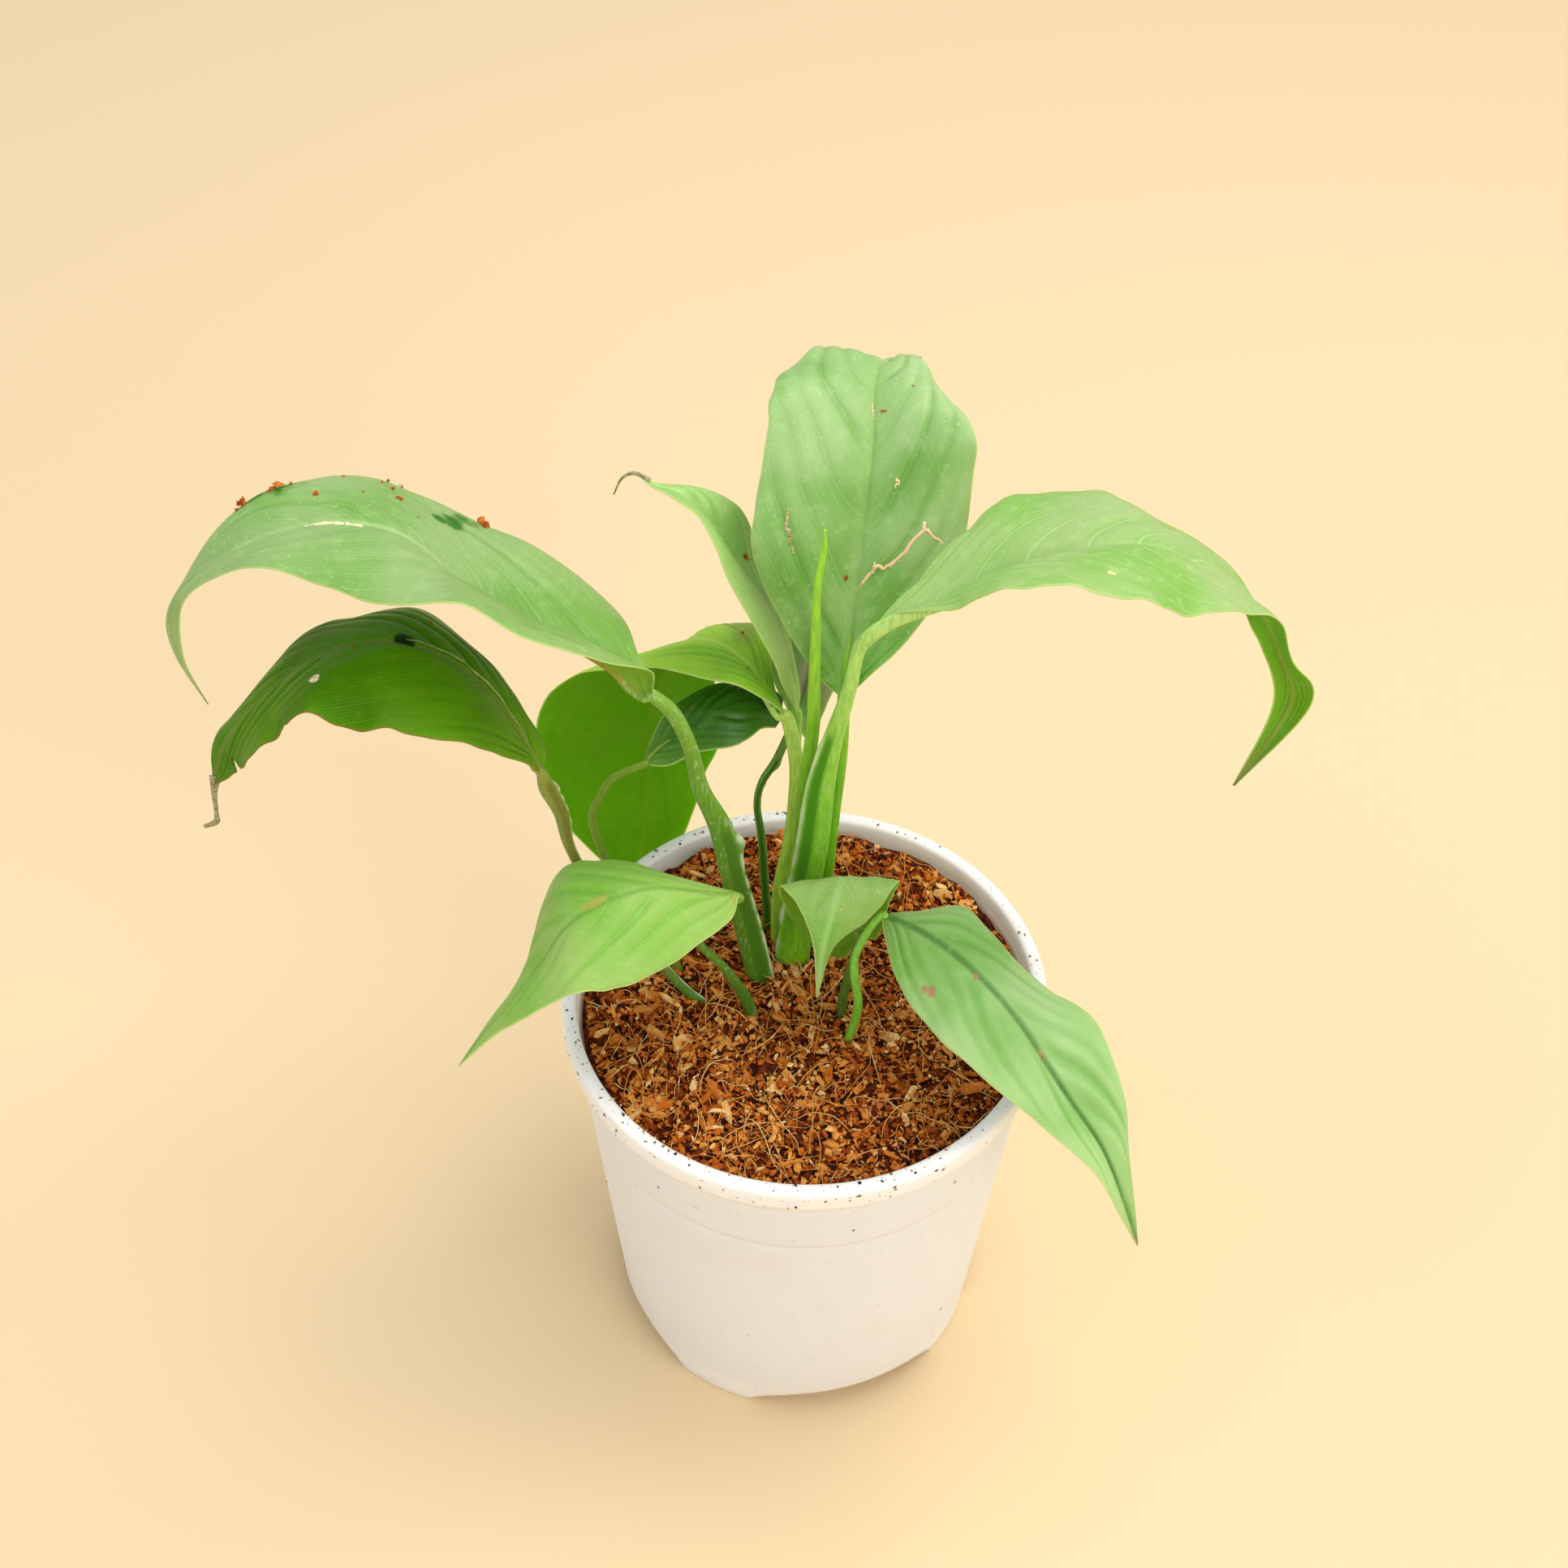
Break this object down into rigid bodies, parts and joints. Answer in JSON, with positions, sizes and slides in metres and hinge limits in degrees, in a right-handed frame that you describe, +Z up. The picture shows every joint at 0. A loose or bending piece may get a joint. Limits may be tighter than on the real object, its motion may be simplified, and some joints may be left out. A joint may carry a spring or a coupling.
{
  "type": "potted peace lily",
  "caption": "Young peace lily with arching pointed leaves on slim stalks, growing in coir potting mix in a round pale plastic nursery pot.",
  "frame": {"origin": "centre of the flat underside of the pot, on the pot's axis and on the surface it stands on", "axes": "+Z up along the pot's axis; -Y is the side that the plant is mainly seen from; +X to the right of that view"},
  "size_m": [0.2162, 0.1277, 0.2333],
  "materials": {
    "pot": "pale cream moulded polypropylene with a soft satin sheen, a few dirt specks on the lip and wall",
    "potting_mix": "moist shredded coconut coir with tan husk chips and pale fibres, coarse and matt",
    "rootstock": "pale fleshy crown and roots, hidden in the potting mix",
    "leaf_stalk": "smooth green stalk with a low sheen, whitish scurf on the oldest sheaths",
    "leaf_blade": "living leaf with curved quilted veins and a waxy satin sheen, paler and duller underneath",
    "young_leaf": "furled new leaf, bright yellow-green and smooth"
  },
  "bodies": {
    "root": {"nursery_pot": "pot", "potting_mix": "potting_mix", "rootstock": "rootstock", "upper_left_stalk": "leaf_stalk", "upper_left_blade": "leaf_blade", "shaded_left_stalk": "leaf_stalk", "shaded_left_blade": "leaf_blade", "arching_back_stalk": "leaf_stalk", "arching_back_blade": "leaf_blade", "inner_stalk": "leaf_stalk", "inner_blade": "leaf_blade", "narrow_stalk": "leaf_stalk", "narrow_blade": "leaf_blade", "tall_back_stalk": "leaf_stalk", "tall_back_blade": "leaf_blade", "hidden_back_stalk": "leaf_stalk", "hidden_back_blade": "leaf_blade", "upper_right_stalk": "leaf_stalk", "upper_right_blade": "leaf_blade", "lower_left_stalk": "leaf_stalk", "lower_left_blade": "leaf_blade", "front_stalk": "leaf_stalk", "front_blade": "leaf_blade", "lower_right_stalk": "leaf_stalk", "lower_right_blade": "leaf_blade", "furled_leaf": "young_leaf"}
  },
  "joints": []
}
